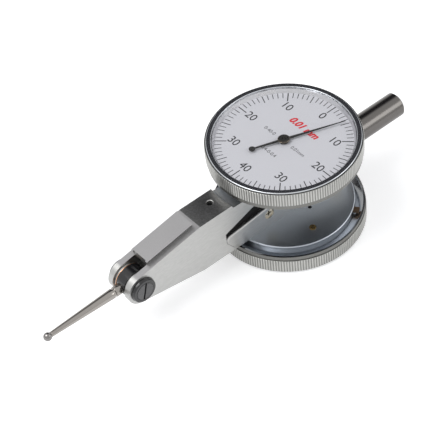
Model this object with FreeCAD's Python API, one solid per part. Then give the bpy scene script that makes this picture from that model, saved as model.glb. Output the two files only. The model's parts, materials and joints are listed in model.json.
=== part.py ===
"""Double-faced lever-type dial test indicator, built from its separate pieces.

All sizes are in millimetres.  X runs from the contact ball (-X) to the stem (+X) and Z is
the axis of both dials.  Pieces are drawn about the mid-plane between the dials (z = 0) and
lifted by half_height when they are written, so the lower bezel rests on z = 0.
A dial unit is drawn once, facing up, and is turned half a turn about X for the lower face.
"""
import FreeCAD, Part
import math
import os

V = FreeCAD.Vector

# ---- running and fitting clearances ----
run_gap = 0.05            # radial clearance of a shaft in its bearing
seat_gap = 0.03           # clearance round a piece dropped into its pocket
mesh_gap = 0.04           # distance kept between the tips of two meshing wheels
air_gap = 0.10            # clearance between a moving face and a fixed one
past = 1.0                # how far a cutting shape runs past the face it opens
through = 20.0            # reach of a cutting shape that goes right through
screw_slot_width = 0.2    # slots of the small screws inside
screw_slot_depth = 0.15

# ---- dial unit ----
bezel_radius = 18.0
half_height = 12.85       # mid-plane to the outer face of the polished bezel ring
knurl_top = 12.55
knurl_height = 3.55
knurl_ribs = 180
knurl_depth = 0.16
lip_height = 1.1          # smooth band between the knurl and the open back of the bezel
lip_radius = 17.75
lip_wall = 0.45
polished_radius = 17.6    # outer edge of the polished ring on the face of the bezel
step_width = 0.16         # groove between the polished ring and the knurl
step_depth = 0.25
edge_bevel = 0.16
ring_inner_radius = 16.42
dial_top = 11.45
dial_thickness = 0.4
dial_hole_radius = 1.0
glass_thickness = 0.35
glass_drop = 0.05         # glass lies this far below the polished ring
window_radius = 15.75     # visible radius of the dial
window_flare = 0.45
bezel_bore_radius = 15.4
bezel_floor = 9.2         # inner floor of the bezel at its bore, facing the mid-plane
bezel_floor_fall = 0.65   # how far the floor slopes towards the mid-plane at the lip

# ---- round cases that carry the bezels ----
case_back = 7.0           # mid-plane to the back of each case
case_radius = 15.45
case_floor = 0.6
case_wall = 0.7
case_depth = 3.5
case_edge = 0.18
retainer_level = 9.7
retainer_wire = 0.22
retainer_opening = 24.0   # degrees left open in the wire ring
clip_angle = 54.0         # degrees about Z on the upper case
clip_width = 1.3
clip_reach = 1.4
clip_thickness = 0.7
clip_root = 0.3
plug_proud = 0.1
plug_radius = 0.8
plug_place = (-2.1, 10.8)
vent_radius = 0.45
vent_place = (1.65, 5.6)
case_screw_places = ((-12.4, 2.15), (-12.4, -2.15), (10.75, 0.0))
case_screw_radius = 0.45
case_screw_tip = 0.8
case_screw_head_radius = 0.85
case_screw_head = 0.5

# ---- arm and fork ----
pivot_x = -45.2
arm_half_width = 3.65
ear_radius = 3.85
ear_thickness = 1.55
arm_taper = 10.2          # degrees, top and underside of the arm
arm_rear_x = -8.0
slot_floor_x = -39.3
slot_roof_wall = 1.5      # metal left between the fork slot and the dovetail face
pad_front_x = -42.3
pad_back_x = -29.05
pad_height = 1.45
pad_half_width = 2.75
pad_flank = 30.0          # degrees of undercut on each side of the dovetail
pad_root = 0.3            # how far the pad is let into the shoulder
relief_radius = 19.2      # turned relief that lets the bezel rim pass over the arm
relief_depth = 0.9
relief_fillet = 0.8
notch_x = -21.4
notch_z = -0.55
notch_rise = 20.0         # degrees, slope of the arm's underside over the movement block
notch_foot_x = -18.7
notch_belly = (-21.3, -3.6)
set_screw_place = (-21.8, 0.6)
set_screw_radius = 0.75
set_screw_recess = 0.9
set_screw_sink = 0.12
set_screw_floor = 4.0
socket_radius = 0.38
socket_depth = 0.8
channel_half_width = 1.6  # way for the lever through arm and movement block
channel_half_height = 2.4

# ---- movement block between the cases ----
block_half_width = 2.75
block_end_x = 15.0
cavity_front_x = -6.5
cavity_rear_x = 8.0
cavity_half_height = 6.1
plate_ledge = 0.45
plate_ledge_rear = 1.8
plate_thickness = 0.6
plate_screw_places = ((8.95, 4.0), (8.95, -4.0))
plate_screw_radius = 0.3
plate_screw_head = 0.6
plate_screw_head_height = 0.25
plate_screw_length = 1.4
arbor_way_radius = 0.8
cover_top_start = -2.2   # height of the cover's top edge at the notch
cover_rise = 6.5          # degrees, slope of the cover's top edge
cover_corner_radius = 1.2
cover_nose_share = 0.45   # rounding of the cover's nose, as a share of its thickness
cover_screw_places = ((-8.6, -3.2), (11.5, -3.2))
cover_screw_radius = 0.5
cover_screw_length = 0.95 # how far the shank reaches into the block
cover_seat_wall = 0.15
cover_head_radius = 1.3
cover_head = 0.45
cross_reach = 0.75
cross_width = 0.3
cross_depth = 0.25

# ---- stem ----
stem_radius = 3.0
stem_end_x = 34.7
stem_chamfer = 0.5
spigot_radius = 1.9
spigot_length = 3.4

# ---- lever, drum and contact point ----
axle_radius = 0.8
journal_radius = 0.6
journal_length = 0.6
drum_radius = 3.55
drum_near_y = -1.45
drum_far_y = 1.3
drum_flat_depth = 0.2     # flat on the drum that seats the shank
washer_gap = 0.02
washer_thickness = 0.15
cheek_thickness = 0.5
cheek_radius = 3.3
yoke_gap = 0.2            # between drum and the lever's yoke
yoke_wall = 1.1
yoke_half_height = 1.7
lever_bar_half_height = 0.6
lever_bar_y = (-0.2, 0.8)
lever_end_x = -4.6
rivet_radius = 0.3
rivet_places = (-7.4, -5.6)
sector_thickness = 0.7
sector_half_height = 2.3
sector_depth = 5.5
sector_rim = 2.0
sector_tail = 1.0
sector_blend = 1.0        # length over which the plate widens to the rim
tooth_depth = 0.25
stylus_length = 23.3
ball_radius = 1.0
ball_flat = 0.8           # distance from the ball's centre to the shank's tip
shank_tip_radius = 0.62
shank_base_radius = 1.2
neck_radius = 0.85
neck_length = 0.45
collar_radius = 1.22
collar_length = 1.75
thread_radius = 0.75
thread_length = 2.0
tip_pin_radius = 0.4
tip_pin_length = 0.45

# ---- pivot screws and lock rings on the ears ----
pivot_screw_radius = 2.2
pivot_screw_proud = 0.95
pivot_slot_width = 0.4
pivot_slot_depth = 0.5
pivot_slot_angle = 75.0   # degrees from +X, seen from the near side
lock_base_radius = 3.2
lock_face_radius = 2.95
lock_height = 0.9

# ---- gear train ----
sector_ratio = 15.0       # lever to cross shaft
crown_ratio = 12.0        # cross shaft to either arbor
crown_mean_radius = 5.6
crown_face = 0.8
crown_web = 0.45
crown_back_y = -1.8
crown_teeth = 120
crown_tooth_height = 0.2
crown_hub_radius = 1.1
crown_window_radius = 1.3
crown_window_place = 3.2
cross_shaft_radius = 0.5
cross_pivot_radius = 0.25
jewel_radius = 0.8
cross_pinion_teeth = 38
cross_pinion_y = (0.75, 1.55)
arbor_teeth = 10
arbor_pivot_radius = 0.15
arbor_radius = 0.35
arbor_neck_radius = 0.3
inner_bearing = (3.4, 4.4)
arbor_pinion = (4.75, 6.4)
arbor_tooth_depth = 0.14
arbor_tooth_tip = 0.03     # height of the teeth above the pitch circle
inner_jewel_radius = 0.45
bridge_half_width = 1.5
bridge_near_y = -0.9
bridge_plate = 0.2
bridge_plate_half = 2.6
bridge_plate_height = 5.3
bridge_screw_radius = 0.25
bridge_screw_head = 0.3
bridge_screw_places = ((1.95, 4.6), (-1.95, -4.6))

# ---- hairspring, hand and hub ----
collet_radius = 0.85
spring_pitch = 0.7
spring_turns = 5
spring_thickness = 0.12
spring_level = (8.4, 8.8)
collet_height = 0.7
stud_size = 0.7
stud_rise = 0.2           # stud above the hairspring
hand_angle = -20.9        # degrees about Z at rest, seen on the upper dial
hand_reach = 14.85
hand_tail = 7.6
hand_tail_radius = 0.75
hand_level = 12.0
hand_thickness = 0.12
hand_root = 0.75
hand_neck = 0.4
hand_point = 0.14
hand_boss_lift = 0.12     # clearance between the boss and the dial
hand_boss_radius = 1.1
hub_cap_radius = 1.4
hub_cap_height = 0.28
hub_cap_bevel = 0.12
hub_cap_dome = 0.05
hub_cap_flat_radius = 0.9

# ---- values that follow from the sizes above ----
glass_top = half_height - glass_drop
glass_under = glass_top - glass_thickness
dial_under = dial_top - dial_thickness
bezel_back = knurl_top - knurl_height - lip_height
case_wall_radius = bezel_bore_radius - air_gap
slope = math.tan(math.radians(arm_taper))
ear_rise = ear_radius / math.cos(math.radians(arm_taper))
knee_x = pivot_x + (case_back - ear_rise) / slope
slot_half_width = arm_half_width - ear_thickness
notch_slope = math.tan(math.radians(notch_rise))
cover_slope = math.tan(math.radians(cover_rise))
cheek_outer_y = slot_half_width - air_gap
axle_half = slot_half_width - air_gap / 2
ball_x = pivot_x - stylus_length
shank_tip_x = ball_x + ball_flat
drum_flat_x = pivot_x - drum_radius + drum_flat_depth
cross_pinion_radius = -pivot_x / (sector_ratio + 1)
sector_radius = -pivot_x - cross_pinion_radius - mesh_gap
arbor_pinion_radius = crown_mean_radius / crown_ratio + arbor_tooth_tip
crown_tip_y = -arbor_pinion_radius - mesh_gap
wall_inner_y = block_half_width - plate_thickness


# ---- drawing helpers ----
def box(x0, x1, y0, y1, z0, z1):
    return Part.makeBox(x1 - x0, y1 - y0, z1 - z0, V(x0, y0, z0))


def rod_z(radius, z0, z1, x=0.0, y=0.0):
    return Part.makeCylinder(radius, z1 - z0, V(x, y, z0), V(0, 0, 1))


def rod_y(radius, y0, y1, x=0.0, z=0.0):
    return Part.makeCylinder(radius, y1 - y0, V(x, y0, z), V(0, 1, 0))


def rod_x(radius, x0, x1):
    return Part.makeCylinder(radius, x1 - x0, V(x0, 0, 0), V(1, 0, 0))


def taper_x(radius0, radius1, x0, x1):
    return Part.makeCone(radius0, radius1, x1 - x0, V(x0, 0, 0), V(1, 0, 0))


def face_of(points):
    return Part.Face(Part.makePolygon([V(*p) for p in points + points[:1]]))


def prism_y(points, y0, y1):
    """Outline of (x, z) points, extruded along Y."""
    return face_of([(x, y0, z) for x, z in points]).extrude(V(0, y1 - y0, 0))


def prism_z(points, z0, z1):
    """Outline of (x, y) points, extruded along Z."""
    return face_of([(x, y, z0) for x, y in points]).extrude(V(0, 0, z1 - z0))


def turned_z(points):
    """Profile of (radius, z) points turned about the dial axis."""
    return face_of([(r, 0, z) for r, z in points]).revolve(V(0, 0, 0), V(0, 0, 1), 360)


def fused(first, *rest):
    return first.fuse(list(rest)).removeSplitter()


def cut(shape, *tools):
    return shape.cut(list(tools))


def group(shapes):
    return Part.makeCompound(shapes)


def mirrored_y(shape):
    return shape.mirror(V(0, 0, 0), V(0, 1, 0))


def mirrored_z(shape):
    return shape.mirror(V(0, 0, 0), V(0, 0, 1))


def both_sides(shape):
    return group([shape, mirrored_y(shape)])


def turned(shape, axis, degrees, centre=V(0, 0, 0)):
    copy = shape.copy()
    copy.rotate(centre, axis, degrees)
    return copy


def turned_over(shape):
    """Half a turn about X: carries a piece of the upper dial unit to the lower one."""
    return turned(shape, V(1, 0, 0), 180)


def both_units(shape):
    return group([shape, turned_over(shape)])


def rounded_corner(shape, x, z, radius):
    """Rounds the edge along Y that stands at (x, z)."""
    edges = [e for e in shape.Edges
             if all(abs(v.X - x) + abs(v.Z - z) < 1e-6 for v in e.Vertexes)]
    return shape.makeFillet(radius, edges)


def toothed(pitch_angle, first, last, tip, root):
    """Points (a, b) of pointed teeth numbered first to last about an axis."""
    corners = []
    for tooth in range(first, last):
        for share, radius in ((0.05, root), (0.35, tip), (0.65, tip), (0.95, root)):
            angle = pitch_angle * (tooth + share)
            corners.append((radius * math.cos(angle), radius * math.sin(angle)))
    return corners


def save(name, shape):
    lifted = shape.copy()
    lifted.translate(V(0, 0, half_height))
    lifted.exportStep("parts/" + name + ".step")


# ---- arm ----
def shoulder(x):
    """Height of the arm's tapered shoulder above the mid-plane."""
    return min(ear_rise + slope * (x - pivot_x), case_back)


def notch_roof(x):
    """Height of the sloping underside that lies over the movement block."""
    return notch_z + notch_slope * (x - notch_x)


def arm_outline():
    lean = math.radians(arm_taper)
    touch = (pivot_x - ear_radius * math.sin(lean), ear_radius * math.cos(lean))
    top = [touch, (knee_x, case_back), (arm_rear_x, case_back)]
    return top + [(x, -z) for x, z in reversed(top)]


def notch_outline():
    beyond = arm_rear_x + past
    below = -case_back - past
    return [(notch_x, notch_z), (beyond, notch_roof(beyond)), (beyond, below),
            (notch_foot_x, below), (notch_foot_x, -case_back), notch_belly]


def dovetail_pad():
    narrow = pad_half_width - pad_height * math.tan(math.radians(pad_flank))
    section = [(0, pad_half_width, pad_height), (0, narrow, 0), (0, narrow, -pad_root),
               (0, -narrow, -pad_root), (0, -narrow, 0), (0, -pad_half_width, pad_height)]
    run = (pad_back_x - pad_front_x) / math.cos(math.radians(arm_taper))
    pad = turned(face_of(section).extrude(V(run, 0, 0)), V(0, 1, 0), -arm_taper)
    pad.translate(V(pad_front_x, 0, shoulder(pad_front_x)))
    return pad


def relief_ring():
    """Turned recess in the top of the arm, with a rounded outer corner."""
    low = case_back - relief_depth
    above = case_back + past
    start = relief_radius - relief_fillet
    reach = relief_fillet * math.sin(math.pi / 4)
    middle = V(start + reach, 0, low + relief_fillet - reach)
    corner = Part.Arc(V(start, 0, low), middle, V(relief_radius, 0, low + relief_fillet))
    outline = [V(relief_radius, 0, low + relief_fillet), V(relief_radius, 0, above),
               V(case_radius + seat_gap, 0, above), V(case_radius + seat_gap, 0, low),
               V(start, 0, low)]
    lines = [Part.LineSegment(a, b).toShape() for a, b in zip(outline, outline[1:])]
    wire = Part.Wire([corner.toShape()] + lines)
    return Part.Face(wire).revolve(V(0, 0, 0), V(0, 0, 1), 360)


def case_screw_bores():
    bores = [rod_z(case_screw_radius, case_screw_tip, case_back + past, x, y)
             for x, y in case_screw_places]
    return both_units(group(bores))


def arm_housing():
    side = arm_half_width
    front = pivot_x - ear_radius - past
    across = side + past
    body = fused(prism_y(arm_outline(), -side, side), rod_y(ear_radius, -side, side, pivot_x),
                 dovetail_pad())
    roof = shoulder(pad_front_x) + pad_height - slot_roof_wall
    slot = box(front, slot_floor_x, -slot_half_width, slot_half_width, -case_back, roof)
    mouth = box(front, pad_front_x, -slot_half_width, slot_half_width, 0, case_back)
    ear_bores = rod_y(pivot_screw_radius + seat_gap, -across, across, pivot_x)
    hole = rod_z(set_screw_radius, set_screw_floor, case_back + past, *set_screw_place)
    sink = Part.makeCone(set_screw_radius, set_screw_radius + set_screw_sink, set_screw_sink,
                         V(*set_screw_place, case_back - set_screw_sink))
    channel = lever_channel(slot_floor_x - past, arm_rear_x + past)
    notch = prism_y(notch_outline(), -across, across)
    return cut(body, slot, mouth, channel, ear_bores, hole, sink, relief_ring(), notch,
               case_screw_bores())


def lever_channel(x0, x1):
    return box(x0, x1, -channel_half_width, channel_half_width,
               -channel_half_height, channel_half_height)


def set_screw():
    x, y = set_screw_place
    top = case_back - set_screw_recess
    screw = rod_z(set_screw_radius, set_screw_floor, top, x, y)
    corners = [math.radians(60 * k) for k in range(6)]
    socket = [(x + socket_radius * math.cos(a), y + socket_radius * math.sin(a)) for a in corners]
    return cut(screw, prism_z(socket, top - socket_depth, top))


# ---- movement block, its plate and the side covers ----
def block_outline():
    gap = seat_gap
    start = arm_rear_x + gap
    return [(notch_x + gap, notch_z - 2 * gap), (start, notch_roof(start) - 2 * gap),
            (start, case_back), (block_end_x, case_back), (block_end_x, -case_back),
            (notch_foot_x + gap, -case_back), (notch_belly[0] + gap, notch_belly[1])]


def plate_outline(gap):
    front, rear = cavity_front_x - plate_ledge, cavity_rear_x + plate_ledge_rear
    top = cavity_half_height + plate_ledge / 2
    return front + gap, rear - gap, top - gap


def plate_screw_bores(radius):
    inner = -wall_inner_y + plate_screw_length
    return group([rod_y(radius, -block_half_width - past, inner, x, z)
                  for x, z in plate_screw_places])


def movement_block():
    side = block_half_width
    body = prism_y(block_outline(), -side, side)
    cavity = box(cavity_front_x, cavity_rear_x, -wall_inner_y, wall_inner_y,
                 -cavity_half_height, cavity_half_height)
    front, rear, top = plate_outline(0)
    opening = box(front, rear, -side - past, -wall_inner_y, -top, top)
    arbor_ways = rod_z(arbor_way_radius, -case_back - past, case_back + past)
    far_jewel = rod_y(jewel_radius, 0, side + past)
    spigot_bore = rod_x(spigot_radius, block_end_x - spigot_length, block_end_x + past)
    channel = lever_channel(notch_x, cavity_front_x + past)
    return cut(body, cavity, opening, channel, arbor_ways, far_jewel, spigot_bore,
               case_screw_bores(), cover_screw_shanks(0),
               plate_screw_bores(plate_screw_radius), bridge_screw_shanks())


def train_plate():
    front, rear, top = plate_outline(seat_gap)
    plate = box(front, rear, -block_half_width, -wall_inner_y, -top, top)
    seat = -block_half_width + plate_screw_head_height
    head_seats = group([rod_y(plate_screw_head, -block_half_width, seat, x, z)
                        for x, z in plate_screw_places])
    return cut(plate, rod_y(jewel_radius, -block_half_width - past, 0), head_seats,
               plate_screw_bores(plate_screw_radius))


def train_plate_screws():
    top = -block_half_width + seat_gap
    seat = -block_half_width + plate_screw_head_height
    half_slot = screw_slot_width / 2
    screws = []
    for x, z in plate_screw_places:
        head = rod_y(plate_screw_head - seat_gap, top, seat, x, z)
        shank = rod_y(plate_screw_radius, seat, -wall_inner_y + plate_screw_length, x, z)
        slot = box(x - past, x + past, top, top + screw_slot_depth, z - half_slot, z + half_slot)
        screws.append(cut(fused(head, shank), slot))
    return group(screws)


def cover_top(x):
    return cover_top_start + cover_slope * (x - notch_x)


def side_cover():
    """Cover on the near side (-Y); the far one is its mirror image."""
    gap = 2 * seat_gap
    nose_x = notch_belly[0] + gap
    outline = [(notch_foot_x + gap, -case_back), (block_end_x, -case_back),
               (block_end_x, cover_top(block_end_x)), (nose_x, cover_top(nose_x)),
               (nose_x, notch_belly[1])]
    cover = prism_y(outline, -arm_half_width, -block_half_width)
    cover = rounded_corner(cover, nose_x, cover_top(nose_x), cover_corner_radius)
    nose_end = nose_x + 1.01 * cover_corner_radius
    nose = [e for e in cover.Edges if e.BoundBox.XMax < nose_end
            and e.BoundBox.YMax < -arm_half_width + seat_gap]
    rounding = cover_nose_share * (arm_half_width - block_half_width)
    cover = cover.makeFillet(rounding, nose)
    seats = group([rod_y(cover_head_radius + seat_gap, -arm_half_width - past,
                         -block_half_width - cover_seat_wall, x, z)
                   for x, z in cover_screw_places])
    return cut(cover, seats, cover_screw_shanks(run_gap))


def cover_screw_shanks(gap):
    inner = block_half_width - cover_screw_length
    shanks = [rod_y(cover_screw_radius + gap, -arm_half_width - past, -inner, x, z)
              for x, z in cover_screw_places]
    return both_sides(group(shanks))


def cover_screws():
    """Cross-recessed screws: head sunk in the cover, shank in the movement block."""
    seat = -block_half_width - cover_seat_wall
    inner = block_half_width - cover_screw_length
    top = seat - cover_head
    screws = []
    for x, z in cover_screw_places:
        head = rod_y(cover_head_radius, top, seat, x, z)
        shank = rod_y(cover_screw_radius, seat, -inner, x, z)
        arms = [box(x - a, x + a, top, top + cross_depth, z - b, z + b)
                for a, b in ((cross_reach, cross_width / 2), (cross_width / 2, cross_reach))]
        screws.append(cut(fused(head, shank), *arms))
    screws += [mirrored_y(s) for s in screws]
    return group(screws)


def stem():
    tip = stem_end_x - stem_chamfer
    return fused(rod_x(stem_radius, block_end_x, tip),
                 taper_x(stem_radius, stem_radius - stem_chamfer, tip, stem_end_x),
                 rod_x(spigot_radius, block_end_x - spigot_length, block_end_x))


# ---- pieces on the fork ----
def pivot_screw():
    inner = slot_half_width + seat_gap
    outer = arm_half_width + pivot_screw_proud
    screw = rod_y(pivot_screw_radius, -outer, -inner, pivot_x)
    seat = rod_y(journal_radius + run_gap, -inner - journal_length, -inner, pivot_x)
    slot = box(pivot_x - through, pivot_x + through, -outer - past, -outer + pivot_slot_depth,
               -pivot_slot_width / 2, pivot_slot_width / 2)
    return cut(screw, seat, turned(slot, V(0, -1, 0), pivot_slot_angle, V(pivot_x, 0, 0)))


def lock_ring():
    ring = Part.makeCone(lock_base_radius, lock_face_radius, lock_height,
                         V(pivot_x, -arm_half_width, 0), V(0, -1, 0))
    bore = rod_y(pivot_screw_radius + seat_gap, -through, 0, pivot_x)
    return cut(ring, bore)


# ---- lever, about the fork's cross axis ----
def lever_axle():
    return fused(rod_y(axle_radius, -axle_half, axle_half, pivot_x),
                 rod_y(journal_radius, -axle_half - journal_length + run_gap,
                       axle_half + journal_length - run_gap, pivot_x))


def rivet_shanks():
    return group([rod_y(rivet_radius, lever_bar_y[0], lever_bar_y[1] + sector_thickness, x)
                  for x in rivet_places])


def lever():
    back = pivot_x + drum_radius + yoke_gap
    cheeks = [rod_y(cheek_radius, y, y + cheek_thickness, pivot_x)
              for y in (-cheek_outer_y, cheek_outer_y - cheek_thickness)]
    straps = [box(pivot_x, back + yoke_wall, y, y + cheek_thickness, -yoke_half_height,
                  yoke_half_height) for y in (-cheek_outer_y, cheek_outer_y - cheek_thickness)]
    bridge = box(back, back + yoke_wall, -cheek_outer_y, cheek_outer_y,
                 -yoke_half_height, yoke_half_height)
    bar = box(back, lever_end_x, lever_bar_y[0], lever_bar_y[1], -lever_bar_half_height,
              lever_bar_half_height)
    body = fused(bridge, bar, *(cheeks + straps))
    return cut(body, rod_y(axle_radius, -through, through, pivot_x), rivet_shanks())


def sector_gear():
    """Toothed arc about the pivot, on a tapering plate beside the lever's bar."""
    pitch_angle = 2 * math.pi * cross_pinion_radius / cross_pinion_teeth / sector_radius
    half_count = int(sector_half_height / (pitch_angle * sector_radius))
    arc = toothed(pitch_angle, -half_count, half_count, sector_radius,
                  sector_radius - tooth_depth)
    arc = [(pivot_x + a, b) for a, b in arc]
    back = pivot_x + sector_radius - sector_depth
    widen = pivot_x + sector_radius - sector_rim
    lower = [(widen, arc[0][1]), (widen - sector_blend, -sector_tail), (back, -sector_tail)]
    upper = [(x, -z) for x, z in lower]
    plate = prism_y(arc + upper + lower[::-1], lever_bar_y[1], lever_bar_y[1] + sector_thickness)
    return cut(plate, rivet_shanks())


def clutch_washer():
    y = drum_far_y + washer_gap
    return cut(rod_y(drum_radius, y, y + washer_thickness, pivot_x),
               rod_y(axle_radius + run_gap, y - past, y + past, pivot_x))


# ---- stylus, about the same axis through a friction clutch ----
def drum():
    body = rod_y(drum_radius, drum_near_y, drum_far_y, pivot_x)
    flat = box(pivot_x - drum_radius - past, drum_flat_x, -through, through, -through, through)
    socket = rod_x(thread_radius, drum_flat_x - past, drum_flat_x + thread_length)
    return cut(body, flat, socket, rod_y(axle_radius + run_gap, -through, through, pivot_x))


def tip_pin(x1):
    return rod_x(tip_pin_radius, shank_tip_x - tip_pin_length, x1)


def contact_shank():
    collar = drum_flat_x - collar_length
    neck = collar - neck_length
    return fused(rod_x(thread_radius, drum_flat_x, drum_flat_x + thread_length),
                 rod_x(collar_radius, collar, drum_flat_x), rod_x(neck_radius, neck, collar),
                 taper_x(shank_tip_radius, shank_base_radius, shank_tip_x, neck),
                 tip_pin(shank_tip_x))


def contact_ball():
    ball = Part.makeSphere(ball_radius, V(ball_x, 0, 0))
    return cut(ball, tip_pin(shank_tip_x + past), rod_x(ball_radius, shank_tip_x, through))


# ---- cross shaft with the crown wheel ----
def cross_shaft():
    end = wall_inner_y - run_gap
    pivot = block_half_width - run_gap
    return fused(rod_y(cross_shaft_radius, -end, end), rod_y(cross_pivot_radius, -pivot, pivot))


def cross_pinion():
    points = toothed(2 * math.pi / cross_pinion_teeth, 0, cross_pinion_teeth,
                     cross_pinion_radius, cross_pinion_radius - tooth_depth)
    wheel = prism_y(points, *cross_pinion_y)
    return cut(wheel, rod_y(cross_shaft_radius, -through, through))


def crown_wheel():
    outer = crown_mean_radius + crown_face / 2
    inner = crown_mean_radius - crown_face / 2
    rim_y = crown_tip_y - crown_tooth_height
    web = rod_y(outer, crown_back_y, crown_back_y + crown_web)
    rim = cut(rod_y(outer, crown_back_y, crown_tip_y), rod_y(inner, crown_back_y, 0))
    hub = rod_y(crown_hub_radius, crown_back_y, rim_y)
    pitch = 360.0 / crown_teeth
    width = 2 * math.pi * crown_mean_radius / crown_teeth / 2
    groove = box(inner - past, outer + past, rim_y, 0, -width / 2, width / 2)
    grooves = group([turned(groove, V(0, 1, 0), pitch * k) for k in range(crown_teeth)])
    windows = group([rod_y(crown_window_radius, -through, 0, crown_window_place * math.cos(a),
                           crown_window_place * math.sin(a))
                     for a in [math.radians(45 + 90 * k) for k in range(4)]])
    return cut(fused(web, rim, hub), grooves, windows,
               rod_y(cross_shaft_radius, -through, through))


def cross_jewels():
    jewel = cut(rod_y(jewel_radius, -block_half_width, -wall_inner_y),
                rod_y(cross_pivot_radius + run_gap, -through, through))
    return both_sides(jewel)


# ---- bridge that carries the inner ends of both arbors ----
def train_bridge():
    back = box(-bridge_plate_half, bridge_plate_half, wall_inner_y - bridge_plate, wall_inner_y,
               -bridge_plate_height, bridge_plate_height)
    shelf = box(-bridge_half_width, bridge_half_width, bridge_near_y, wall_inner_y - bridge_plate,
                inner_bearing[0], inner_bearing[1])
    return cut(fused(back, shelf, mirrored_z(shelf)),
               rod_z(inner_jewel_radius, -through, through),
               rod_y(cross_shaft_radius + run_gap, 0, through), bridge_screw_shanks())


def bridge_screw_shanks():
    return group([rod_y(bridge_screw_radius, wall_inner_y - bridge_plate,
                        block_half_width - seat_gap, x, z) for x, z in bridge_screw_places])


def bridge_screws():
    screws = []
    for x, z in bridge_screw_places:
        top = wall_inner_y - bridge_plate
        head = rod_y(2 * bridge_screw_radius, top - bridge_screw_head, top, x, z)
        shank = rod_y(bridge_screw_radius, top, block_half_width - seat_gap, x, z)
        screws.append(fused(head, shank))
    return group(screws)


def arbor_jewels():
    inner = cut(rod_z(inner_jewel_radius, *inner_bearing),
                rod_z(arbor_pivot_radius + run_gap, 0, through))
    outer = cut(rod_z(jewel_radius, case_back, case_back + case_floor),
                rod_z(arbor_radius + run_gap, 0, through))
    return group([inner, outer, turned_over(inner), turned_over(outer)])


# ---- one dial unit, drawn facing up ----
def arbor():
    pinion = toothed(2 * math.pi / arbor_teeth, 0, arbor_teeth, arbor_pinion_radius,
                     arbor_pinion_radius - arbor_tooth_depth)
    return fused(rod_z(arbor_pivot_radius, inner_bearing[0] + run_gap, inner_bearing[1] + run_gap),
                 rod_z(arbor_neck_radius, inner_bearing[1] + run_gap, arbor_pinion[0]),
                 prism_z(pinion, *arbor_pinion),
                 rod_z(arbor_radius, arbor_pinion[1], hand_level + hand_thickness))


def collet():
    middle = (spring_level[0] + spring_level[1]) / 2
    ring = rod_z(collet_radius, middle - collet_height / 2, middle + collet_height / 2)
    return cut(ring, rod_z(arbor_radius, 0, through))


def spring_end():
    """Radius at which the hairspring ends, on the +X side."""
    return collet_radius + spring_thickness / 2 + spring_turns * spring_pitch


def hairspring():
    """Flat spiral of half turns about two centres, half a pitch apart."""
    step = spring_pitch / 2
    half = spring_thickness / 2
    low, high = spring_level
    bands = []
    for k in range(2 * spring_turns):
        radius = collet_radius + half + k * step
        centre = step * (k % 2)
        ring = cut(rod_z(radius + half, low, high, centre), rod_z(radius - half, low, high, centre))
        y0, y1 = (0, through) if k % 2 == 0 else (-through, 0)
        bands.append(ring.common(box(-through, through, y0, y1, low, high)))
    return fused(*bands)


def spring_stud():
    reach = spring_end()
    return box(reach - stud_size / 2, reach + stud_size / 2, 0, stud_size,
               case_back + case_floor, spring_level[1] + stud_rise)


def hand():
    tip = [(0, -hand_root / 2), (hand_reach, -hand_point / 2), (hand_reach, hand_point / 2),
           (0, hand_root / 2)]
    tail = [(-hand_tail, -hand_neck / 2), (0, -hand_root / 2), (0, hand_root / 2),
            (-hand_tail, hand_neck / 2)]
    top = hand_level + hand_thickness
    blank = fused(prism_z(tip, hand_level, top), prism_z(tail, hand_level, top),
                  rod_z(hand_tail_radius, hand_level, top, -hand_tail),
                  rod_z(hand_boss_radius, dial_top + hand_boss_lift, top))
    return turned(cut(blank, rod_z(arbor_radius, 0, through)), V(0, 0, 1), hand_angle)


def hub_cap():
    base = hand_level + hand_thickness
    top = base + hub_cap_height
    return turned_z([(0, base), (hub_cap_radius, base), (hub_cap_radius, base + hub_cap_bevel),
                     (hub_cap_radius - hub_cap_bevel, top - hub_cap_dome),
                     (hub_cap_flat_radius, top), (0, top)])


def case_cup():
    floor_top = case_back + case_floor
    rim = case_back + case_depth
    inner = case_wall_radius - case_wall
    groove = retainer_wire + run_gap
    profile = [(0, case_back), (case_radius - case_edge, case_back),
               (case_radius, case_back + case_edge), (case_radius, floor_top),
               (case_wall_radius, floor_top), (case_wall_radius, retainer_level - groove),
               (case_wall_radius - retainer_wire, retainer_level - groove),
               (case_wall_radius - retainer_wire, retainer_level + groove),
               (case_wall_radius, retainer_level + groove), (case_wall_radius, rim),
               (inner, rim), (inner, floor_top), (0, floor_top)]
    holes = [rod_z(case_screw_radius, 0, case_back + through, x, y) for x, y in case_screw_places]
    holes += [rod_z(jewel_radius, 0, through), rod_z(plug_radius, 0, through, *plug_place),
              rod_z(vent_radius, 0, through, *vent_place)]
    return cut(turned_z(profile), *holes)


def case_screws():
    seat = case_back + case_floor
    screws = []
    for x, y in case_screw_places:
        head = rod_z(case_screw_head_radius, seat, seat + case_screw_head, x, y)
        shank = rod_z(case_screw_radius, case_screw_tip, seat, x, y)
        top = seat + case_screw_head
        slot = box(x - past, x + past, y - screw_slot_width / 2, y + screw_slot_width / 2,
                   top - screw_slot_depth, top)
        screws.append(cut(fused(head, shank), slot))
    return group([both for s in screws for both in (s, turned_over(s))])


def case_plug():
    return rod_z(plug_radius, case_back - plug_proud, case_back + case_floor, *plug_place)


def retainer():
    """Open ring of round wire in the groove between case and bezel."""
    radius = case_wall_radius + air_gap / 2
    span = 360.0 - retainer_opening
    ring = Part.makeTorus(radius, retainer_wire, V(0, 0, retainer_level), V(0, 0, 1),
                          0, 360, span)
    return turned(ring, V(0, 0, 1), retainer_opening / 2)


def bezel_clip():
    """Small hook on the case wall that reaches over the open back of the bezel."""
    top = bezel_floor - bezel_floor_fall - air_gap
    foot = box(case_wall_radius - clip_root, case_wall_radius + clip_reach, -clip_width / 2,
               clip_width / 2, top - clip_thickness, top)
    foot = cut(foot, rod_z(case_wall_radius, 0, through))
    return turned(foot, V(0, 0, 1), clip_angle)


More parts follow.
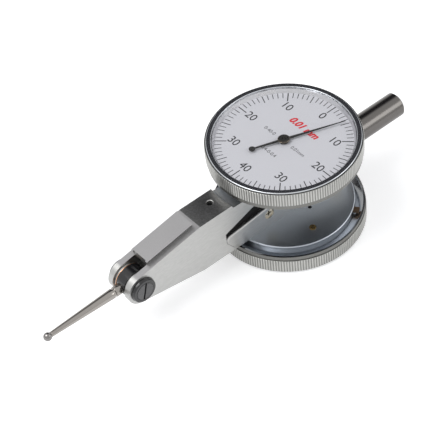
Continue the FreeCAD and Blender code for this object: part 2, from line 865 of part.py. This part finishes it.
def bezel():
    knurl_foot = knurl_top - knurl_height
    rib = 2 * math.pi / knurl_ribs
    ribs = []
    for k in range(knurl_ribs):
        ribs.append((bezel_radius * math.cos(k * rib), bezel_radius * math.sin(k * rib)))
        valley = bezel_radius - knurl_depth
        ribs.append((valley * math.cos((k + 0.5) * rib), valley * math.sin((k + 0.5) * rib)))
    core = bezel_radius - 2 * knurl_depth
    body = turned_z([(0, bezel_back), (lip_radius, bezel_back), (lip_radius, knurl_foot),
                     (core, knurl_foot), (core, knurl_top), (polished_radius, knurl_top),
                     (polished_radius, half_height - edge_bevel),
                     (polished_radius - edge_bevel, half_height), (0, half_height)])
    groove_outer = polished_radius + step_width
    groove = turned_z([(polished_radius, knurl_top - step_depth),
                       (groove_outer, knurl_top - step_depth), (groove_outer, knurl_top + past),
                       (polished_radius, knurl_top + past)])
    bevels = [turned_z([(bezel_radius - edge_bevel, z), (bezel_radius + 1, z),
                        (bezel_radius + 1, z - side * (1 + edge_bevel))])
              for z, side in ((knurl_top, 1), (knurl_foot, -1))]
    bore = bezel_bore_radius
    lip_inner = lip_radius - lip_wall
    track = retainer_wire + run_gap
    track_bore = case_wall_radius + air_gap / 2 + track
    inside = turned_z([(0, bezel_back - past), (lip_inner, bezel_back - past),
                       (lip_inner, bezel_floor - bezel_floor_fall), (bore, bezel_floor),
                       (bore, retainer_level - track), (track_bore, retainer_level - track),
                       (track_bore, retainer_level + track), (bore, retainer_level + track),
                       (bore, dial_under), (ring_inner_radius, dial_under),
                       (ring_inner_radius, half_height - edge_bevel),
                       (ring_inner_radius + edge_bevel, half_height), (0, half_height)])
    return cut(fused(body, prism_z(ribs, knurl_foot, knurl_top)), groove, inside, *bevels)


def dial_plate():
    return cut(rod_z(ring_inner_radius - seat_gap, dial_under, dial_top),
               rod_z(dial_hole_radius, 0, through))


def window_ring():
    """Polished cone between the dial and the glass."""
    outer = ring_inner_radius - seat_gap
    return turned_z([(window_radius, dial_top), (outer, dial_top), (outer, glass_under),
                     (window_radius + window_flare, glass_under)])


def glass():
    return rod_z(ring_inner_radius - seat_gap, glass_under, glass_top)


# ---- writing the pieces ----
def frame_pieces():
    cover = side_cover()
    return {
        "arm_housing": arm_housing(), "arm_set_screw": set_screw(),
        "movement_block": movement_block(), "train_plate": train_plate(),
        "train_plate_screws": train_plate_screws(), "near_side_cover": cover,
        "far_side_cover": mirrored_y(cover), "cover_screws": cover_screws(),
        "stem": stem(), "pivot_screws": both_sides(pivot_screw()),
        "pivot_lock_rings": both_sides(lock_ring()), "cross_shaft_jewels": cross_jewels(),
        "train_bridge": train_bridge(), "bridge_screws": bridge_screws(),
        "arbor_jewels": arbor_jewels(), "case_screws": case_screws(),
        "case_plugs": both_units(case_plug()), "bezel_clips": both_units(bezel_clip()),
        "bezel_retainers": both_units(retainer()), "hairspring_studs": both_units(spring_stud()),
    }


def lever_pieces():
    return {
        "lever": lever(), "lever_axle": lever_axle(), "sector_gear": sector_gear(),
        "sector_rivets": rivet_shanks(), "clutch_washer": clutch_washer(),
        "stylus_drum": drum(), "contact_shank": contact_shank(), "contact_ball": contact_ball(),
        "cross_shaft": cross_shaft(), "cross_pinion": cross_pinion(),
        "crown_wheel": crown_wheel(),
    }


def dial_unit_pieces():
    return {
        "case": case_cup(), "bezel": bezel(), "dial_plate": dial_plate(),
        "window_ring": window_ring(), "glass": glass(), "arbor": arbor(), "collet": collet(),
        "hairspring": hairspring(), "hand": hand(), "hub_cap": hub_cap(),
    }


def main():
    os.makedirs("parts", exist_ok=True)
    for name, shape in {**frame_pieces(), **lever_pieces()}.items():
        save(name, shape)
    for name, shape in dial_unit_pieces().items():
        save("upper_" + name, shape)
        save("lower_" + name, turned_over(shape))


main()
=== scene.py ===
"""Finishes, dial print and studio for the double-faced dial test indicator.

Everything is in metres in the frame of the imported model: +X points from the contact ball to
the stem, +Z is the axis of both dials and the lower bezel stands on z = 0.
"""
import json
import math

import bpy
from mathutils import Matrix, Vector

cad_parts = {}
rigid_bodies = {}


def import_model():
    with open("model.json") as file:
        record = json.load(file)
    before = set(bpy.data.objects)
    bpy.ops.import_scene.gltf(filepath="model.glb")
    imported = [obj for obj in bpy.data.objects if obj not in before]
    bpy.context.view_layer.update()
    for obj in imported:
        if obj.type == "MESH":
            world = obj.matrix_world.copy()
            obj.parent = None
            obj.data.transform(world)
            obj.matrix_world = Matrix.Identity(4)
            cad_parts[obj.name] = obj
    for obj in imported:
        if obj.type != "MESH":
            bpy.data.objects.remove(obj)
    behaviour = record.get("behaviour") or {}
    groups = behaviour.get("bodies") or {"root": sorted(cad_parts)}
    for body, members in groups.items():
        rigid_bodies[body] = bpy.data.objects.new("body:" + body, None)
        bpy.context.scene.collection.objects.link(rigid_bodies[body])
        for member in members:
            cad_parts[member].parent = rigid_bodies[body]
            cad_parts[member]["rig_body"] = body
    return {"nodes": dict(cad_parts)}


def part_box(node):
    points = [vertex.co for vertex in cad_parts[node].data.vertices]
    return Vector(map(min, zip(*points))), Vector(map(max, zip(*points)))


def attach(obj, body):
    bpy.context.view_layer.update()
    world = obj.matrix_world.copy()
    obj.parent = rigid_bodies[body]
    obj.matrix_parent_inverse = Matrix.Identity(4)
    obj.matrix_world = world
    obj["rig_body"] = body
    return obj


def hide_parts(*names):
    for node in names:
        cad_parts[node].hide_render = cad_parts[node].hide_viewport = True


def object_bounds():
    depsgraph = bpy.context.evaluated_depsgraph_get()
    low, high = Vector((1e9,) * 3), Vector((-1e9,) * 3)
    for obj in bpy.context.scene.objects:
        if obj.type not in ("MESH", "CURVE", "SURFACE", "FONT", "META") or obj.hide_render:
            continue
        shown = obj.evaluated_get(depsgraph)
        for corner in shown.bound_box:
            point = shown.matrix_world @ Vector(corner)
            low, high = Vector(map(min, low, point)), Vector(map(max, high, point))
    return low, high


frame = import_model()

cad_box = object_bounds()
MM = 0.001
MIDDLE = (cad_box[0].z + cad_box[1].z) / 2
UNITS = ("upper", "lower")

CAMERA_PLACE = (-0.195317, -0.246310, 0.333019)
CAMERA_RIGHT = (0.7635, -0.6411, -0.0786)
CAMERA_BACK = (-0.3979, -0.5627, 0.7246)
CAMERA_LENS = 164.17
FLAG_DIRECTION = (0.50, 0.58, 0.64)
FLAG_EDGE = (0.88, 0.97)         # cosines where the dark flag starts and is full
LAMP_AIM = (0, 0, 0.01)
LAMPS = (                        # name, place, width, depth, power
    ("key_lamp", (-0.25, 0.10, 0.45), 0.30, 0.30, 1.1),
    ("fill_lamp", (0.35, -0.35, 0.30), 0.35, 0.25, 0.5),
)
FLOOR_DROP = 0.05 * MM           # keeps the floor clear of the lower bezel
FLOOR_GLOW = 0.45

FLAT_FACING = 0.999              # cosine above which an arm face counts as level
PAD_FACING = (0.97, 0.99)        # cosines between which it counts as the sloping dovetail top
PAD_HALF_WIDTH = 2.9 * MM        # dovetail top on the arm
PAD_REAR_X = -29 * MM
KNURL_SHADE_DEPTH = 0.16 * MM         # below the rim, where the knurl's valleys are painted fully dark as shade
# below the rim, where the painted shade in the knurl ends
KNURL_CREST = 0.03 * MM
RING_EDGE = (0.42 * MM, 0.36 * MM)   # below the rim, where the polished ring meets the knurl
WELD_DISTANCE = 0.0005 * MM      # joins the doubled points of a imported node
FLAT_ANGLE = 0.4                 # degrees under which two faces are made one
RECESS_SHADE_FULL = 0.12 * MM          # below the screw's face, deeper than which the recess and seat are painted fully dark as shade
# below the screw's face, where the painted shade in the recess ends
RECESS_SHADE_END = 0.03 * MM


# ---- studio ----
def place_camera():
    """Looks down on the near side, from the contact end."""
    camera = bpy.data.objects.new("camera", bpy.data.cameras.new("camera"))
    bpy.context.scene.collection.objects.link(camera)
    right = Vector(CAMERA_RIGHT).normalized()
    back = Vector(CAMERA_BACK).normalized()
    up = back.cross(right).normalized()
    right = up.cross(back)
    turn = Matrix((right, up, back)).transposed().to_4x4()
    camera.matrix_world = Matrix.Translation(CAMERA_PLACE) @ turn
    camera.data.lens = CAMERA_LENS
    camera.data.sensor_width = 36.0
    camera.data.clip_start = 0.01
    bpy.context.scene.camera = camera


def add_lamp(name, place, width, depth, power):
    lamp = bpy.data.objects.new(name, bpy.data.lights.new(name, "AREA"))
    bpy.context.scene.collection.objects.link(lamp)
    lamp.data.shape = "RECTANGLE"
    lamp.data.size = width
    lamp.data.size_y = depth
    lamp.data.energy = power
    lamp.location = place
    lamp.rotation_euler = (Vector(LAMP_AIM) - Vector(place)).to_track_quat("-Z", "Y").to_euler()


def light_world():
    """White to the eye and in mirrors, with one dark flag above; a plain level for the rest."""
    world = bpy.data.worlds.new("studio")
    bpy.context.scene.world = world
    world.use_nodes = True
    world.cycles.sampling_method = "NONE"
    nodes, links = world.node_tree.nodes, world.node_tree.links
    nodes.clear()
    out = nodes.new("ShaderNodeOutputWorld")
    shade = nodes.new("ShaderNodeBackground")
    path = nodes.new("ShaderNodeLightPath")
    where = nodes.new("ShaderNodeTexCoord")
    facing = nodes.new("ShaderNodeVectorMath")
    facing.operation = "DOT_PRODUCT"
    facing.inputs[1].default_value = Vector(FLAG_DIRECTION).normalized()
    flag = nodes.new("ShaderNodeValToRGB")
    flag.color_ramp.elements[0].position = FLAG_EDGE[0]
    flag.color_ramp.elements[0].color = (1, 1, 1, 1)
    flag.color_ramp.elements[1].position = FLAG_EDGE[1]
    flag.color_ramp.elements[1].color = (0.05, 0.05, 0.055, 1)
    seen = nodes.new("ShaderNodeMath")
    seen.operation = "MAXIMUM"
    mirrored = nodes.new("ShaderNodeMix")
    mirrored.data_type = "RGBA"
    mirrored.inputs["A"].default_value = (0.55, 0.555, 0.57, 1)
    shown = nodes.new("ShaderNodeMix")
    shown.data_type = "RGBA"
    shown.inputs["B"].default_value = (1, 1, 1, 1)
    links.new(where.outputs["Generated"], facing.inputs[0])
    links.new(facing.outputs["Value"], flag.inputs["Fac"])
    links.new(path.outputs["Is Glossy Ray"], mirrored.inputs["Factor"])
    links.new(flag.outputs["Color"], mirrored.inputs["B"])
    links.new(path.outputs["Is Camera Ray"], seen.inputs[0])
    links.new(path.outputs["Is Transmission Ray"], seen.inputs[1])
    links.new(seen.outputs["Value"], shown.inputs["Factor"])
    links.new(mirrored.outputs["Result"], shown.inputs["A"])
    links.new(shown.outputs["Result"], shade.inputs["Color"])
    links.new(shade.outputs["Background"], out.inputs["Surface"])


def lay_floor():
    bpy.ops.object.select_all(action="DESELECT")
    bpy.ops.mesh.primitive_plane_add(size=3.0, location=(0, 0, cad_box[0].z - FLOOR_DROP))
    floor = bpy.context.object
    floor.name = "floor"
    material = bpy.data.materials.new("floor_white")
    material.use_nodes = True
    nodes, links = material.node_tree.nodes, material.node_tree.links
    matt = nodes["Principled BSDF"]
    matt.inputs["Base Color"].default_value = (0.9, 0.9, 0.9, 1)
    matt.inputs["Roughness"].default_value = 0.9
    matt.inputs["Emission Color"].default_value = (1, 1, 1, 1)
    path = nodes.new("ShaderNodeLightPath")
    eye = nodes.new("ShaderNodeMath")
    eye.operation = "MAXIMUM"
    glow = nodes.new("ShaderNodeMath")
    glow.operation = "MULTIPLY"
    glow.inputs[1].default_value = FLOOR_GLOW
    links.new(path.outputs["Is Camera Ray"], eye.inputs[0])
    links.new(path.outputs["Is Glossy Ray"], eye.inputs[1])
    links.new(eye.outputs["Value"], glow.inputs[0])
    links.new(glow.outputs["Value"], matt.inputs["Emission Strength"])
    floor.data.materials.append(material)


# ---- finishes ----
class Finish:
    """One material with its shader and short ways to add and join nodes."""

    def __init__(self, name, colour, metallic, roughness):
        self.material = bpy.data.materials.new(name)
        self.material.use_nodes = True
        self.nodes = self.material.node_tree.nodes
        self.shader = self.nodes["Principled BSDF"]
        self.shader.inputs["Base Color"].default_value = (*colour, 1)
        self.shader.inputs["Metallic"].default_value = metallic
        self.shader.inputs["Roughness"].default_value = roughness
        self.where = self.nodes.new("ShaderNodeTexCoord").outputs["Object"]

    def join(self, source, target):
        self.material.node_tree.links.new(source, target)

    def stretched(self, scale):
        mapping = self.nodes.new("ShaderNodeMapping")
        mapping.inputs["Scale"].default_value = scale
        self.join(self.where, mapping.inputs["Vector"])
        return mapping.outputs["Vector"]

    def noise(self, vector, size, detail=2.0):
        texture = self.nodes.new("ShaderNodeTexNoise")
        texture.inputs["Scale"].default_value = size
        texture.inputs["Detail"].default_value = detail
        self.join(vector, texture.inputs["Vector"])
        return texture.outputs["Fac"]

    def spread(self, value, low, high, start=0.25, end=0.75):
        scale = self.nodes.new("ShaderNodeMapRange")
        scale.inputs["From Min"].default_value = start
        scale.inputs["From Max"].default_value = end
        scale.inputs["To Min"].default_value = low
        scale.inputs["To Max"].default_value = high
        self.join(value, scale.inputs["Value"])
        return scale.outputs["Result"]

    def tinted(self, value, dark, light):
        mix = self.nodes.new("ShaderNodeMix")
        mix.data_type = "RGBA"
        mix.inputs["A"].default_value = (*dark, 1)
        mix.inputs["B"].default_value = (*light, 1)
        self.join(value, mix.inputs["Factor"])
        return mix.outputs["Result"]

    def paint(self, colour):
        self.join(colour, self.shader.inputs["Base Color"])

    def rough(self, value, low, high):
        self.join(self.spread(value, low, high), self.shader.inputs["Roughness"])

    def bump(self, value, height, strength=1.0):
        bump = self.nodes.new("ShaderNodeBump")
        bump.inputs["Distance"].default_value = height
        bump.inputs["Strength"].default_value = strength
        self.join(value, bump.inputs["Height"])
        self.join(bump.outputs["Normal"], self.shader.inputs["Normal"])


def shaded(colour, factor):
    return tuple(c * factor for c in colour)


def brushed(name, colour, roughness, stretch, contrast=0.06, height=0.002 * MM):
    """Metal with fine parallel lines; stretch gives lines per metre along X, Y and Z."""
    finish = Finish(name, colour, 1.0, roughness)
    lines = finish.noise(finish.stretched(stretch), 1.0, 3.0)
    cloud = finish.noise(finish.stretched((180, 180, 180)), 1.0, 3.0)
    tone = finish.spread(lines, 0.0, 1.0)
    finish.paint(finish.tinted(tone, shaded(colour, 1 - contrast), shaded(colour, 1 + contrast)))
    finish.rough(cloud, roughness * 0.88, roughness * 1.12)
    finish.bump(lines, height)
    return finish.material


def polished(name, colour, roughness):
    """Bright metal with faint smears."""
    finish = Finish(name, colour, 1.0, roughness)
    smear = finish.noise(finish.stretched((400, 400, 400)), 1.0, 4.0)
    finish.rough(smear, roughness * 0.7, roughness * 1.4)
    finish.paint(finish.tinted(smear, shaded(colour, 0.96), shaded(colour, 1.03)))
    return finish.material


def lacquer(name, colour, roughness, coat=0.5, shine=0.5):
    """Smooth black oxide or paint, slightly uneven in gloss."""
    finish = Finish(name, colour, 0.0, roughness)
    finish.shader.inputs["Specular IOR Level"].default_value = shine
    finish.shader.inputs["Coat Weight"].default_value = coat
    finish.shader.inputs["Coat Roughness"].default_value = 0.12
    grain = finish.noise(finish.stretched((2500, 2500, 2500)), 1.0, 4.0)
    finish.rough(grain, roughness * 0.8, roughness * 1.3)
    finish.paint(finish.tinted(grain, shaded(colour, 0.8), shaded(colour, 1.4)))
    finish.bump(grain, 0.002 * MM)
    return finish.material


def cross_screw_metal(name, colour):
    """Bright plated head; the cross recess and the seat below its face are painted dark as shade.
    """
    finish = Finish(name, colour, 1.0, 0.2)
    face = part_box("cover_screws")[1].y
    parts = finish.nodes.new("ShaderNodeSeparateXYZ")
    finish.join(finish.where, parts.inputs["Vector"])
    away = finish.nodes.new("ShaderNodeMath")
    away.operation = "ABSOLUTE"
    finish.join(parts.outputs["Y"], away.inputs[0])
    # painted shade: near black below the screw's face, the plated colour on the face
    head = finish.spread(away.outputs["Value"], 0.0, 1.0, face - RECESS_SHADE_FULL, face - RECESS_SHADE_END)
    finish.paint(finish.tinted(head, (0.012, 0.009, 0.006), colour))
    smear = finish.noise(finish.stretched((2500, 2500, 2500)), 1.0, 3.0)
    finish.rough(smear, 0.14, 0.28)
    return finish.material


def bezel_metal(name, colour):
    """Satin knurl with shade painted into its valleys; the front ring inside it is polished."""
    finish = Finish(name, colour, 1.0, 0.3)
    low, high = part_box("upper_bezel")
    reach = (high.x - low.x) / 2
    flat = finish.stretched((1, 1, 0))
    length = finish.nodes.new("ShaderNodeVectorMath")
    length.operation = "LENGTH"
    finish.join(flat, length.inputs[0])
    radius = length.outputs["Value"]
    valley_shade = finish.spread(radius, 0.30, 1.0, reach - KNURL_SHADE_DEPTH, reach - KNURL_CREST)
    ring = finish.spread(radius, 1.0, 0.0, reach - RING_EDGE[0], reach - RING_EDGE[1])
    lines = finish.noise(finish.stretched((3500, 3500, 500)), 1.0, 3.0)
    worn = finish.spread(lines, 0.86, 1.06)
    shade = finish.nodes.new("ShaderNodeMath")
    shade.operation = "MULTIPLY"
    finish.join(valley_shade, shade.inputs[0])
    finish.join(worn, shade.inputs[1])
    # painted shade: near black in the knurl's valleys, the metal's colour at the crests, varied
    # by random wear lines
    knurl = finish.tinted(shade.outputs["Value"], (0.05, 0.05, 0.045), colour)
    blend = finish.nodes.new("ShaderNodeMix")
    blend.data_type = "RGBA"
    blend.inputs["B"].default_value = (0.60, 0.62, 0.65, 1)
    finish.join(knurl, blend.inputs["A"])
    finish.join(ring, blend.inputs["Factor"])
    finish.paint(blend.outputs["Result"])
    finish.join(finish.spread(ring, 0.34, 0.15, 0.0, 1.0), finish.shader.inputs["Roughness"])
    finish.bump(lines, 0.002 * MM)
    return finish.material


def window_glass():
    finish = Finish("clear_glass", (0.6, 0.6, 0.6), 0.0, 0.02)
    finish.shader.inputs["Alpha"].default_value = 0.025
    smear = finish.noise(finish.stretched((150, 150, 150)), 1.0, 3.0)
    finish.rough(smear, 0.0, 0.05)
    return finish.material


def dial_enamel():
    colour = (0.64, 0.64, 0.675)
    finish = Finish("dial_enamel", colour, 0.0, 0.55)
    grain = finish.noise(finish.stretched((6000, 6000, 6000)), 1.0, 3.0)
    finish.paint(finish.tinted(grain, shaded(colour, 0.985), shaded(colour, 1.015)))
    finish.rough(grain, 0.48, 0.62)
    return finish.material


# ---- pieces ----
def only(piece):
    """Makes a piece the one selected object."""
    if bpy.context.mode != "OBJECT":
        bpy.ops.object.mode_set(mode="OBJECT")
    bpy.ops.object.select_all(action="DESELECT")
    piece.select_set(True)
    bpy.context.view_layer.objects.active = piece


def eased_copy(node, width, finishes, crease=32.0):
    """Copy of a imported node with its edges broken, which stands for the node."""
    source = frame["nodes"][node]
    body = source["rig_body"]
    piece = source.copy()
    piece.data = source.data.copy()
    piece.parent = None
    for key in list(piece.keys()):
        del piece[key]
    piece.name = node + "_eased"
    piece.data.materials.clear()
    bpy.context.scene.collection.objects.link(piece)
    only(piece)
    bpy.ops.mesh.customdata_custom_splitnormals_clear()
    bpy.ops.object.mode_set(mode="EDIT")
    bpy.ops.mesh.select_all(action="SELECT")
    bpy.ops.mesh.remove_doubles(threshold=WELD_DISTANCE)
    bpy.ops.mesh.dissolve_limited(angle_limit=math.radians(FLAT_ANGLE))
    bpy.ops.object.mode_set(mode="OBJECT")
    if width:
        bevel = piece.modifiers.new("eased", "BEVEL")
        bevel.width = width
        bevel.segments = 2
        bevel.limit_method = "ANGLE"
        bevel.angle_limit = math.radians(crease)
        bpy.ops.object.modifier_apply(modifier=bevel.name)
    bpy.ops.object.shade_smooth_by_angle(angle=math.radians(crease))
    even = piece.modifiers.new("even", "WEIGHTED_NORMAL")
    even.weight = 100
    even.keep_sharp = True
    bpy.ops.object.modifier_apply(modifier=even.name)
    for finish in finishes:
        piece.data.materials.append(finish)
    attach(piece, body)
    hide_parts(node)
    return piece


def finish_arm_faces(arm):
    """The level flat behind the dovetail gets a darker copy of the brushed steel as a painted
    dark reflection; the dovetail's top is matt.
    """
    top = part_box("upper_case")[0].z
    for face in arm.data.polygons:
        level = face.normal.z > FLAT_FACING and abs(face.center.z - top) < 0.02 * MM
        sloped = PAD_FACING[0] < face.normal.z < PAD_FACING[1]
        if level:
            # level top faces take the darker copy: painted dark reflection
            face.material_index = 1
        elif sloped and abs(face.center.y) < PAD_HALF_WIDTH and face.center.x < PAD_REAR_X:
            face.material_index = 2


def give(node, finish):
    slots = frame["nodes"][node].data.materials
    if not slots:
        slots.append(finish)
    for k in range(len(slots)):
        slots[k] = finish


# ---- dial print ----
def dial_side(unit):
    """Carries what is drawn for the upper dial to the dial of a unit."""
    if unit == "upper":
        return Matrix.Identity(4)
    middle = Matrix.Translation((0, 0, MIDDLE))
    return middle @ Matrix.Rotation(math.pi, 4, "X") @ middle.inverted()


INK_LIFT = 0.004 * MM
INK_THICKNESS = 0.012 * MM
NUMBER_SIZE = 2.95 * MM
NUMBER_REACH = 11.35 * MM        # from the dial's middle to the middle of a number
END_REACH = 11.6 * MM            # the same for the two ends of the scale
NOTE_SIZE = 1.3 * MM
VALUE_SIZE = 2.5 * MM
VALUE_SWELL = 0.11 * MM
VALUE_REACH = 6.0 * MM
NOTES = (("0.01mm", 0, -4.6 * MM), ("0-40-0", 0, 4.8 * MM), ("0.4-0-0.4", -4.6 * MM, 0))
MARK_END = 15.7                  # mm from the dial's middle
SHORT_MARK = (14.1, 0.16)        # start and width in mm
MIDDLE_MARK = (13.5, 0.19)
LONG_MARK = (13.0, 0.23)


def tick(angle, inner, outer, width, level):
    length = outer - inner
    bpy.ops.mesh.primitive_cube_add(size=1.0, location=(0, 0, 0))
    mark = bpy.context.object
    turn = Matrix.Rotation(angle, 4, "Z")
    place = Matrix.Translation(((inner + outer) / 2, 0, level + INK_THICKNESS / 2))
    size = Matrix.Diagonal((length, width, INK_THICKNESS, 1))
    mark.data.transform(turn @ place @ size)
    return mark


def figure(text, size, x, y, level, swell=0.0, slant=0.0):
    """Number on the dial, reading towards -Y with its top towards +X."""
    bpy.ops.object.text_add(location=(0, 0, 0))
    label = bpy.context.object
    label.data.body = text
    label.data.size = size
    label.data.align_x = "CENTER"
    label.data.align_y = "CENTER"
    label.data.extrude = INK_THICKNESS / 2
    label.data.offset = swell
    label.data.shear = slant
    label.data.resolution_u = 6
    bpy.ops.object.convert(target="MESH")
    turn = Matrix.Rotation(-math.pi / 2, 4, "Z")
    label.data.transform(Matrix.Translation((x, y, level + INK_THICKNESS / 2)) @ turn)
    return label


def joined(parts, name):
    bpy.ops.object.select_all(action="DESELECT")
    for part in parts:
        part.select_set(True)
    bpy.context.view_layer.objects.active = parts[0]
    bpy.ops.object.join()
    parts[0].name = name
    return parts[0]


DIVISIONS = 80
NUMBERS = (0, 10, 20, 30, 40, 30, 20, 10)


def dial_marks(level):
    marks = []
    for k in range(DIVISIONS):
        angle = -2 * math.pi * k / DIVISIONS
        start, width = SHORT_MARK
        if k % 10 == 0:
            start, width = LONG_MARK
        elif k % 5 == 0:
            start, width = MIDDLE_MARK
        marks.append(tick(angle, start * MM, MARK_END * MM, width * MM, level))
    return marks


def dial_numbers(level):
    labels = []
    for k, number in enumerate(NUMBERS):
        angle = -2 * math.pi * k / len(NUMBERS)
        reach = END_REACH if number in (0, 40) else NUMBER_REACH
        labels.append(figure(str(number), NUMBER_SIZE, reach * math.cos(angle),
                             reach * math.sin(angle), level))
    return labels


def print_dial(unit, ink, note, red):
    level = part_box("upper_dial_plate")[1].z + INK_LIFT
    marks = joined(dial_marks(level) + dial_numbers(level), unit + "_dial_marks")
    small = [figure(text, NOTE_SIZE, x, y, level) for text, x, y in NOTES]
    notes = joined(small, unit + "_dial_notes")
    value = figure("0.01 mm", VALUE_SIZE, VALUE_REACH, 0, level, VALUE_SWELL, slant=0.3)
    value.name = unit + "_dial_value"
    for piece, finish in ((marks, ink), (notes, note), (value, red)):
        piece.data.transform(dial_side(unit))
        piece.data.materials.clear()
        piece.data.materials.append(finish)
        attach(piece, unit + "_bezel")


def dress_units(metals):
    for unit in UNITS:
        give(unit + "_dial_plate", metals["enamel"])
        give(unit + "_glass", metals["glass"])
        eased_copy(unit + "_window_ring", 0.0, [metals["mirror"]], crease=50.0)
        give(unit + "_hand", metals["hand"])
        give(unit + "_hub_cap", metals["hub"])
        give(unit + "_arbor", metals["bright"])
        give(unit + "_collet", metals["brass"])
        give(unit + "_hairspring", metals["spring"])
        eased_copy(unit + "_case", 0.06 * MM, [metals["turned"]])
        eased_copy(unit + "_bezel", 0.0, [metals["bezel"]], crease=50.0)
        print_dial(unit, metals["ink"], metals["note"], metals["red"])


def dress_frame(metals):
    arm = eased_copy("arm_housing", 0.1 * MM,
                     [metals["satin"], metals["flat_painted_reflection"], metals["pad"]])
    finish_arm_faces(arm)
    eased_copy("near_side_cover", 0.08 * MM, [metals["satin"]])
    eased_copy("far_side_cover", 0.08 * MM, [metals["satin"]])
    # near black movement block: blackened steel, partly painted shade in the wedge gap
    eased_copy("movement_block", 0.05 * MM, [metals["blackened"]])
    eased_copy("stem", 0.05 * MM, [metals["ground"]])
    eased_copy("pivot_lock_rings", 0.12 * MM, [metals["black"]])
    eased_copy("pivot_screws", 0.1 * MM, [metals["screw_black"]])
    eased_copy("cover_screws", 0.06 * MM, [metals["plated"]])
    eased_copy("stylus_drum", 0.1 * MM, [metals["black"]])
    eased_copy("clutch_washer", 0.02 * MM, [metals["copper"]])
    eased_copy("contact_shank", 0.08 * MM, [metals["nickel"]])
    give("contact_ball", metals["ball"])
    # near black set screw and train plate: blackened steel, partly painted shade in the hole and
    # the wedge gap
    give("arm_set_screw", metals["blackened"])
    give("train_plate", metals["blackened"])
    for node in ("case_plugs", "hairspring_studs", "sector_gear", "train_bridge",
                 "cross_pinion", "crown_wheel"):
        give(node, metals["brass"])
    for node in ("train_plate_screws", "bridge_screws", "case_screws", "lever_axle",
                 "sector_rivets", "cross_shaft", "bezel_retainers"):
        give(node, metals["bright"])
    give("lever", metals["satin"])
    give("bezel_clips", metals["clip"])
    give("cross_shaft_jewels", metals["jewel"])
    give("arbor_jewels", metals["jewel"])


def make_finishes():
    return {
        "satin": brushed("satin_steel", (0.46, 0.46, 0.45), 0.36, (900, 7000, 7000), 0.09),
        # darker copy of the arm's brushed steel for its level flat: painted dark reflection
        "flat_painted_reflection": brushed("brushed_flat_painted_reflection", (0.20, 0.20, 0.20), 0.30, (2500, 2500, 2500),
                             0.25, 0.006 * MM),
        "pad": brushed("matt_dovetail", (0.37, 0.365, 0.37), 0.5, (6000, 6000, 6000), 0.06),
        "turned": brushed("turned_case", (0.40, 0.43, 0.47), 0.34, (5000, 5000, 5000), 0.03),
        "bezel": bezel_metal("bezel_satin", (0.52, 0.52, 0.50)),
        "ground": brushed("ground_stem", (0.15, 0.142, 0.135), 0.2, (9000, 900, 900)),
        "nickel": brushed("nickel_shank", (0.33, 0.31, 0.29), 0.14, (9000, 900, 900), 0.04),
        "plated": cross_screw_metal("plated_screws", (0.70, 0.62, 0.48)),
        "mirror": polished("mirror_steel", (0.64, 0.64, 0.66), 0.3),
        "ball": polished("ball_carbide", (0.24, 0.23, 0.225), 0.06),
        "bright": polished("bright_steel", (0.6, 0.6, 0.6), 0.2),
        "brass": polished("brass", (0.60, 0.42, 0.18), 0.28),
        "copper": polished("copper_washer", (0.80, 0.45, 0.27), 0.15),
        "spring": polished("blued_spring", (0.18, 0.2, 0.3), 0.25),
        "clip": polished("clip_bronze", (0.22, 0.15, 0.10), 0.35),
        "hub": polished("hub_bronze", (0.09, 0.073, 0.057), 0.16),
        "black": lacquer("gloss_black", (0.008, 0.008, 0.009), 0.14, coat=0.2),
        "screw_black": lacquer("screw_black", (0.03, 0.03, 0.032), 0.3),
        "hand": lacquer("hand_black", (0.004, 0.004, 0.004), 0.6, coat=0.0, shine=0.25),
        # near black with little shine: blackened steel, partly painted shade for the wedge gap
        # and the set-screw hole
        "blackened": lacquer("blackened_steel_and_painted_shade", (0.004, 0.004, 0.004), 0.6, coat=0.0,
                             shine=0.15),
        "ink": lacquer("dial_ink", (0.009, 0.009, 0.012), 0.7, coat=0.0, shine=0.2),
        "note": lacquer("dial_note", (0.06, 0.06, 0.065), 0.7, coat=0.0),
        "red": lacquer("dial_red", (0.60, 0.012, 0.022), 0.7, coat=0.0),
        "jewel": lacquer("jewel_red", (0.35, 0.01, 0.04), 0.1),
        "glass": window_glass(),
        "enamel": dial_enamel(),
    }


finishes = make_finishes()
dress_frame(finishes)
dress_units(finishes)
place_camera()
light_world()
lay_floor()
for lamp_values in LAMPS:
    add_lamp(*lamp_values)
bpy.context.scene.view_settings.view_transform = "Standard"
